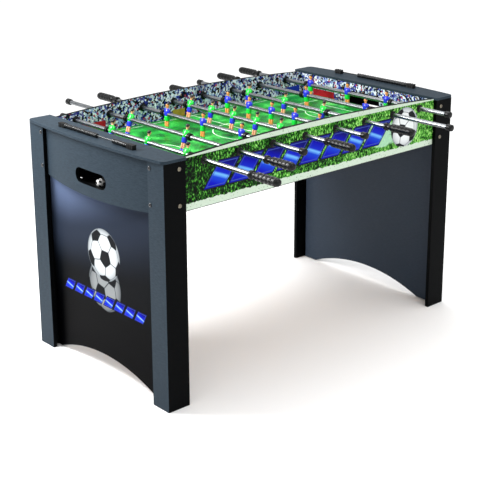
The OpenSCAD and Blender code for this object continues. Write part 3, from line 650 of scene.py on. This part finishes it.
for number in rodNumbers:
    pivot = rodPivots[f"rod_{number}_turn"]
    bushes = []
    for side in (-1, 1):
        toSide = Matrix.Translation((pivot.x, tableY, pivot.z)) @ Matrix.Rotation(0 if side > 0 else math.pi, 4, "Z")
        flanges.append(copyPiece(flange, "oneFlange", toSide @ Matrix.Translation((0, wallOuter, 0)) @ faceFar))
        toNut = Matrix.Translation((0, wallInner - bearingShape["nutThickness"] * mm, 0))
        nuts.append(copyPiece(nut, "oneNut", toSide @ toNut @ faceFar))
        bushes.append(copyPiece(bush, "oneBush", toSide @ faceFar))
    bushPair = joinPieces(f"rod_{number}_bearing_pair", bushes)
    bushPair.data.materials.append(nylon)
    settle(bushPair, f"rod_{number}_bearings", "black_plastic", f"rod_{number}_bushes")
for copies, name, node in ((flanges, "bearing_flanges", "bearing_housings"),
                           (nuts, "bearing_hex_nuts", "bearing_nuts")):
    joined = joinPieces(name, copies)
    joined.data.materials.append(blackAbs)
    settle(joined, "table", "black_plastic", node)
for piece in (flange, nut, bush):
    dropMaster(piece)

print("men")
manShape = {  # rings of (height, half depth, half width, shift forward) in mm from the rod's axis
    "shirt": [(-6, 9.8, 11.2), (-5, 10.8, 12.4), (4, 10.9, 13), (12, 10, 13.4), (17, 8, 12), (20.5, 5.6, 8),
              (22, 3.6, 4.6)],
    "shorts": [(-25, 7.6, 10.8), (-24, 8.6, 11.6), (-15, 9.4, 11.8), (-7, 10.2, 11.8), (-5, 10.2, 11.6)],
    "leg": [(-24, 5.6, 5, -0.5), (-32, 5.2, 4.6, -0.3), (-37, 4.9, 4.3), (-42, 5.4, 4.6, -0.4), (-47, 4.6, 4)],
    "boot": [(-46, 5, 4.4, -0.4), (-49, 6, 4.8), (-52, 7.4, 5, 0.6), (-55, 8.6, 5.1, 1), (-58.2, 8.8, 5.1, 1),
             (-59, 8.2, 4.6, 1)],
    "sleeve": [(19, 2.6, 1.6), (18, 4, 2.6), (12, 4.4, 3), (7, 4.5, 3.1), (6, 4, 2.6)],
    "forearm": [(7, 3.4, 2.4), (3, 3.8, 2.7), (-2, 4.2, 2.9), (-5, 3.6, 2.4), (-6, 2, 1.4)],
    "neck": [(20, 4.4, 4.4), (23, 3.8, 3.8), (27, 3.8, 3.8)],
    "head": [(25, 2.4, 2.2, 0.6), (26, 4.6, 4.2, 0.6), (29, 6.6, 5.8, 0.4), (33, 7.4, 6.6), (37, 7.2, 6.5),
             (40, 5.2, 4.8), (41.2, 2.4, 2.2)],
    "hair": [(30, 3.6, 5.2, -3.6), (32, 5.2, 6.8, -2.4), (36, 6.8, 7.2, -1.1), (38.2, 7.4, 7, -0.3),
             (40.6, 5.8, 5.4, -0.2), (42, 2.6, 2.6, -0.2)],
    "nose": [(33.6, 0.8, 0.8, 7.2), (31.4, 1.3, 1.1, 7.5), (30.6, 0.7, 0.8, 7.3)],
    "ear": [(35, 1, 0.8), (33, 1.7, 1.2), (31, 1, 0.8)],
}
manPaint = {"shirt": 0, "shorts": 1, "boot": 1, "leg": 2, "neck": 2, "head": 2, "nose": 2, "ear": 2, "hair": 3,
            "sleeve": 0, "forearm": 4}
manPairs = {"leg": 5.4, "boot": 5.4, "sleeve": 12.8, "forearm": 13, "ear": 6.9}
teams = {"green": [greenPlastic, bluePlastic, skinPaint, hairPaint, whitePaint, zincSteel],
         "blue": [bluePlastic, greenPlastic, orangePaint, hairPaint, whitePaint, zincSteel]}
parts = []
for part, rings in manShape.items():
    for side in ((-1, 1) if part in manPairs else (0,)):
        one = stackRings(part, rings, 8 if part in ("nose", "ear") else 12)
        placeMesh(one, Matrix.Translation((0, side * manPairs.get(part, 0) * mm, 0)))
        one.modifiers.new("round", "SUBSURF").levels = 1
        applyModifiers(one)
        for paint in teams["green"]:
            one.data.materials.append(paint)
        for face in one.data.polygons:
            face.material_index = manPaint[part]
        parts.append(one)
screw = turned("screw", [(0, 2.8), (0.5, 2.8), (0.9, 2)], 16)
placeMesh(screw, Matrix.Translation((-10.7 * mm, 0, 1 * mm)) @ Matrix.Rotation(-math.pi / 2, 4, "Y"))
for paint in teams["green"]:
    screw.data.materials.append(paint)
for face in screw.data.polygons:
    face.material_index = 5
man = joinPieces("man", parts + [screw])
bpy.ops.object.shade_smooth()
nearRods = (1, 2, 4, 6)
menOnRod = dict(zip(rodNumbers, (3, 2, 3, 5, 5, 3, 2, 3)))
restTurn = dict(zip(rodNumbers, (15, 18, 4, 14, 5, 12, -3, 0)))
manWidth = 32
for number in rodNumbers:
    team = "green" if number in nearRods else "blue"
    pivot = rodPivots[f"rod_{number}_turn"]
    low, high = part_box(f"rod_{number}_men")
    middle, count = (low.y + high.y) / 2, menOnRod[number]
    gap = (high.y - low.y - manWidth * mm) / (count - 1)
    onRod = Matrix.Translation((pivot.x, middle, pivot.z)) @ Matrix.Rotation(math.radians(restTurn[number]), 4, "Y")
    facing = Matrix.Rotation(0 if team == "green" else math.pi, 4, "Z")
    row = [copyPiece(man, "oneMan", onRod @ Matrix.Translation((0, (k - (count - 1) / 2) * gap, 0)) @ facing)
           for k in range(count)]
    men = joinPieces(f"rod_{number}_{team}_men", row)
    for index, paint in enumerate(teams[team]):
        men.data.materials[index] = paint
    settle(men, f"rod_{number}", f"{team}_men", f"rod_{number}_men")
dropMaster(man)

print("rods")
# (height, radius) pairs in mm along the handle; the grip has 10 flats, cut into blocks that rise from grooves
handleShape = {"length": 128, "collar": [(0, 8.2), (0, 13.2), (1.2, 14.4), (10.5, 14.4), (12, 13.2)],
               "neck": [(13, 10.2), (26, 10.2)],
               "grip": [(28, 12.2), (31, 13.5), (48.5, 13.6), (66, 13.6), (83.5, 13.6), (101, 13.6), (118.5, 13.3)],
               "end": [(123.5, 12), (127, 9), (128, 4.5)], "sides": 10, "gap": 2.2, "rise": 1.3,
               "blocks": (31, 119), "easing": 0.35}
grip = turned("grip", handleShape["collar"] + handleShape["neck"] + handleShape["grip"] + handleShape["end"],
              handleShape["sides"])
activate(grip)
bpy.ops.object.mode_set(mode="EDIT")
bpy.ops.mesh.select_all(action="DESELECT")
bpy.ops.mesh.select_mode(type="FACE")
shape = bmesh.from_edit_mesh(grip.data)
for face in shape.faces:
    centre = face.calc_center_median()
    if abs(face.normal.z) < 0.2 and handleShape["blocks"][0] * mm < centre.z < handleShape["blocks"][1] * mm:
        face.select_set(True)
bmesh.update_edit_mesh(grip.data)
bpy.ops.mesh.inset(thickness=handleShape["gap"] / 2 * mm, use_individual=True)
bpy.ops.mesh.extrude_region_shrink_fatten(TRANSFORM_OT_shrink_fatten={"value": handleShape["rise"] * mm})
bpy.ops.object.mode_set(mode="OBJECT")
soften = grip.modifiers.new("ease", "BEVEL")
soften.width, soften.segments = handleShape["easing"] * mm, 2
soften.limit_method, soften.angle_limit = "ANGLE", math.radians(40)
applyModifiers(grip)
smooth(grip, 50)
bumperShape = {"length": 14, "profile": [(0, 8.1), (0, 11.8), (1.2, 13), (5.6, 13), (6.2, 12.4), (7.8, 12.4),
                                         (8.4, 13), (12.8, 13), (14, 11.8), (14, 8.1), (0, 8.1)]}
capShape = {"rise": 4, "profile": [(-4, 4), (-3.6, 9), (-2.6, 11), (-1, 12), (17.5, 12), (18.8, 11.6), (20, 10.4),
                                   (20, 8.1)]}
tubeShape = {"outside": 8, "inside": 6, "easing": 0.4}
bumper = turned("bumper", bumperShape["profile"], 32, True)
endCap = turned("endCap", capShape["profile"], 32)
for piece in (bumper, endCap):
    smooth(piece, 40)
for number in rodNumbers:
    pivot = rodPivots[f"rod_{number}_turn"]
    low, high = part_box(f"rod_{number}_fittings")
    tubeLow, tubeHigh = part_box(f"rod_{number}_tube")
    menLow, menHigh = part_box(f"rod_{number}_men")
    long, ease = (tubeHigh.y - tubeLow.y) / mm, tubeShape["easing"]
    outer, inner = tubeShape["outside"], tubeShape["inside"]
    tube = turned("tube", [(0, inner), (0, outer - ease), (ease, outer), (long - ease, outer), (long, outer - ease),
                           (long, inner), (0, inner)], 48, True)
    smooth(tube, 40)
    placeMesh(tube, Matrix.Translation((pivot.x, tubeLow.y, pivot.z)) @ faceFar)
    tube.name = tube.data.name = f"rod_{number}_steel_tube"
    tube.data.materials.append(chrome)
    settle(tube, f"rod_{number}", "rod_chrome", f"rod_{number}_tube")
    isNear = number in nearRods
    outward = Matrix.Rotation(math.pi if isNear else 0, 4, "Z") @ faceFar
    handleEnd = low.y if isNear else high.y
    handleStart = handleEnd + (1 if isNear else -1) * handleShape["length"] * mm
    capTip = high.y if isNear else low.y
    handle = copyPiece(grip, f"rod_{number}_handle", Matrix.Translation((pivot.x, handleStart, pivot.z)) @ outward)
    capRise = (-1 if isNear else 1) * capShape["rise"] * mm
    cap = copyPiece(endCap, f"rod_{number}_end_cap",
                    Matrix.Translation((pivot.x, capTip + capRise, pivot.z)) @ outward)
    bumpers = [copyPiece(bumper, "oneBumper", Matrix.Translation((pivot.x, y, pivot.z)) @ faceFar)
               for y in (menLow.y - bumperShape["length"] * mm, menHigh.y)]
    bumperPair = joinPieces(f"rod_{number}_bumpers", bumpers)
    for piece in (handle, cap, bumperPair):
        piece.data.materials.append(rubber)
        settle(piece, f"rod_{number}", "black_rubber", f"rod_{number}_fittings")
for piece in (grip, bumper, endCap):
    dropMaster(piece)

print("ball and scorers")
ballLow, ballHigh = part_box("ball")
ballCentre, ballRadius = (ballLow + ballHigh) / 2, (ballHigh.z - ballLow.z) / 2
ballMaterial, tree, shader, place = startMaterial("printedBallPlastic", "#f2f2f0", 0.25, IOR=1.5)
direction = addNode(tree, "VectorMath", place, ballCentre, operation="SUBTRACT")
direction = addNode(tree, "VectorMath", direction, 1 / ballRadius, operation="SCALE")
direction = addNode(tree, "Mapping", direction, (0, 0, 0), (0.4, 0.9, 0.3), (1, 1, 1), vector_type="POINT")
pentagon, seam = ballPattern(tree, direction)
colour = addNode(tree, "Mix", seam, "#f2f2f0", "#9a9c9e", data_type="RGBA")
colour = addNode(tree, "Mix", pentagon, colour, "#101113", data_type="RGBA")
tree.links.new(colour, shader.inputs["Base Color"])
groove = addNode(tree, "Math", 1.0, seam, operation="SUBTRACT")
tree.links.new(addNode(tree, "Bump", 0.6, 0.0003, None, groove), shader.inputs["Normal"])
clearSelection()
bpy.ops.mesh.primitive_ico_sphere_add(subdivisions=5, radius=ballRadius * 0.999, location=(0, 0, 0))
ballPiece = bpy.context.object
ballPiece.name = ballPiece.data.name = "game_ball"
placeMesh(ballPiece, Matrix.Translation(ballCentre))
ballPiece.data.materials.append(ballMaterial)
smooth(ballPiece, 60)
settle(ballPiece, "ball", "ball_plastic", "ball")

# each bead has three lobes, and stands a little clear of the next
beadShape = {"step": 26.4, "gap": 0.4, "profile": [
    (0, 2.1), (0, 6.6), (0.8, 7.8), (1.4, 8), (3.8, 8), (4.6, 7.6), (5.2, 6), (10.4, 6), (11, 7.6), (11.8, 8),
    (14.2, 8), (15, 7.6), (15.6, 6), (20.8, 6), (21.4, 7.6), (22.2, 8), (24.6, 8), (25.2, 7.8), (26, 6.6), (26, 2.1),
    (0, 2.1)]}
bead = turned("bead", beadShape["profile"], 24, True)
smooth(bead, 50)
for node, name, body in (("beads_left_waiting", "bead_row_left_far", "scorer_left_waiting"),
                         ("beads_left_scored", "bead_row_left_near", "scorer_left_scored"),
                         ("beads_right", "bead_row_right", "scorer_right")):
    low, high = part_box(node)
    centreX, centreZ = (low.x + high.x) / 2, (low.z + high.z) / 2
    count = round(((high.y - low.y) / mm + beadShape["gap"]) / beadShape["step"])
    starts = [low.y + k * beadShape["step"] * mm for k in range(count)]
    row = [copyPiece(bead, "oneBead", Matrix.Translation((centreX, start, centreZ)) @ faceFar) for start in starts]
    beads = joinPieces(name, row)
    beads.data.materials.append(beadPlastic)
    settle(beads, body, "bead_plastic", node)
dropMaster(bead)

postShape = {"length": 34, "cells": 6, "rib": 1.2, "easing": 0.5}
for end in ("left", "right"):
    low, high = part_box(f"scorer_rail_{end}")
    centreX = (low.x + high.x) / 2
    wireZ = (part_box("beads_right")[0].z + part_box("beads_right")[1].z) / 2
    postLength = postShape["length"] * mm
    cell = postLength / postShape["cells"]
    posts = []
    for startY in (low.y, high.y - postLength):
        clearSelection()
        bpy.ops.mesh.primitive_cube_add(size=1, location=(0, 0, 0))
        post = bpy.context.object
        placeMesh(post, Matrix.Translation((centreX, startY + postLength / 2, (low.z + high.z) / 2))
                  @ Matrix.Diagonal((high.x - low.x, postLength, high.z - low.z, 1)))
        activate(post)
        bpy.ops.object.mode_set(mode="EDIT")
        for k in range(1, postShape["cells"]):
            # cuts for the ribs across the post
            bpy.ops.mesh.select_all(action="SELECT")
            bpy.ops.mesh.bisect(plane_co=(0, startY + k * cell, 0), plane_no=(0, 1, 0))
        bpy.ops.mesh.select_all(action="DESELECT")
        bpy.ops.mesh.select_mode(type="FACE")
        shape = bmesh.from_edit_mesh(post.data)
        for face in shape.faces:
            share = (face.calc_center_median().y - startY) / cell
            if abs(face.normal.y) < 0.5 and face.normal.z > -0.5 and int(share) % 2 == 1:
                face.select_set(True)
        bmesh.update_edit_mesh(post.data)
        bpy.ops.mesh.extrude_region_shrink_fatten(TRANSFORM_OT_shrink_fatten={"value": -postShape["rib"] * mm})
        bpy.ops.object.mode_set(mode="OBJECT")
        soften = post.modifiers.new("ease", "BEVEL")
        soften.width, soften.segments, soften.limit_method = postShape["easing"] * mm, 2, "ANGLE"
        applyModifiers(post)
        smooth(post, 40)
        posts.append(post)
    pair = joinPieces(f"scorer_posts_{end}", posts)
    pair.data.materials.append(blackAbs)
    settle(pair, "table", "black_plastic", f"scorer_rail_{end}")
    span = (high.y - low.y) / mm - 2 * postShape["length"]
    wire = turned(f"scorer_wire_{end}", [(-3, 1.6), (-2.5, 2), (span + 2.5, 2), (span + 3, 1.6)], 24)
    smooth(wire, 40)
    placeMesh(wire, Matrix.Translation((centreX, low.y + postLength, wireZ)) @ faceFar)
    wire.data.materials.append(blackSteel)
    settle(wire, "table", "steel", f"scorer_rail_{end}")

print("camera and light")
bpy.context.scene.view_settings.view_transform = "Standard"
cameraSetup = {"place": (-2781, -3076, 1811), "turn": 41.77, "tilt": 16.19, "roll": 0.21,
               "lens": 86.02, "shift": (0, -0.15)}
cameraData = bpy.data.cameras.new("camera")
camera = bpy.data.objects.new("camera", cameraData)
bpy.context.scene.collection.objects.link(camera)
bpy.context.scene.camera = camera
cameraData.lens = cameraSetup["lens"]
cameraData.sensor_width = 36
cameraData.shift_x, cameraData.shift_y = cameraSetup["shift"]
cameraData.clip_end = 60
camera.location = Vector(cameraSetup["place"]) * mm + Vector((0, tableY, 0))
turn, tilt, roll = [math.radians(cameraSetup[angle]) for angle in ("turn", "tilt", "roll")]
camera.rotation_euler = (Matrix.Rotation(-turn, 3, "Z") @ Matrix.Rotation(math.pi / 2 - tilt, 3, "X")
                         @ Matrix.Rotation(-roll, 3, "Z")).to_euler()

lights = {
    "windowLight": {"place": (-1.45, 0.85, 1.75), "size": 0.8, "power": 62},
    "frontFill": {"place": (-0.4, -4.6, 3.2), "size": 2.4, "power": 70},
    "overhead": {"place": (0.9, 0.9, 3.6), "size": 2.0, "power": 45},
}
for lightName, light in lights.items():
    lightData = bpy.data.lights.new(lightName, "AREA")
    lightData.size, lightData.energy = light["size"], light["power"]
    lamp = bpy.data.objects.new(lightName, lightData)
    bpy.context.scene.collection.objects.link(lamp)
    lamp.location = light["place"]
    lamp.rotation_euler = (Vector((0, 0, 0.5)) - lamp.location).to_track_quat("-Z", "Y").to_euler()

world = bpy.data.worlds.new("studio")
bpy.context.scene.world = world
world.use_nodes = True
# a soft ceiling: brightest overhead and dimmer towards the horizon
sky = world.node_tree.nodes["Background"]
sky.inputs["Color"].default_value = linearColour("#ffffff")
direction = world.node_tree.nodes.new("ShaderNodeTexCoord").outputs["Generated"]
ceiling = addNode(world.node_tree, "SeparateXYZ", direction).node.outputs["Z"]
world.node_tree.links.new(addNode(world.node_tree, "MapRange", ceiling, 0.0, 1.0, 0.35, 1.45), sky.inputs["Strength"])

clearSelection()
bpy.ops.mesh.primitive_plane_add(size=60, location=(0, 0, 0))
floor = bpy.context.object
floor.name = "floor"
floorMaterial, floorTree, floorShader, floorPlace = startMaterial("paleFloor", "#fbfbfb", 0.9)
floor.data.materials.append(floorMaterial)
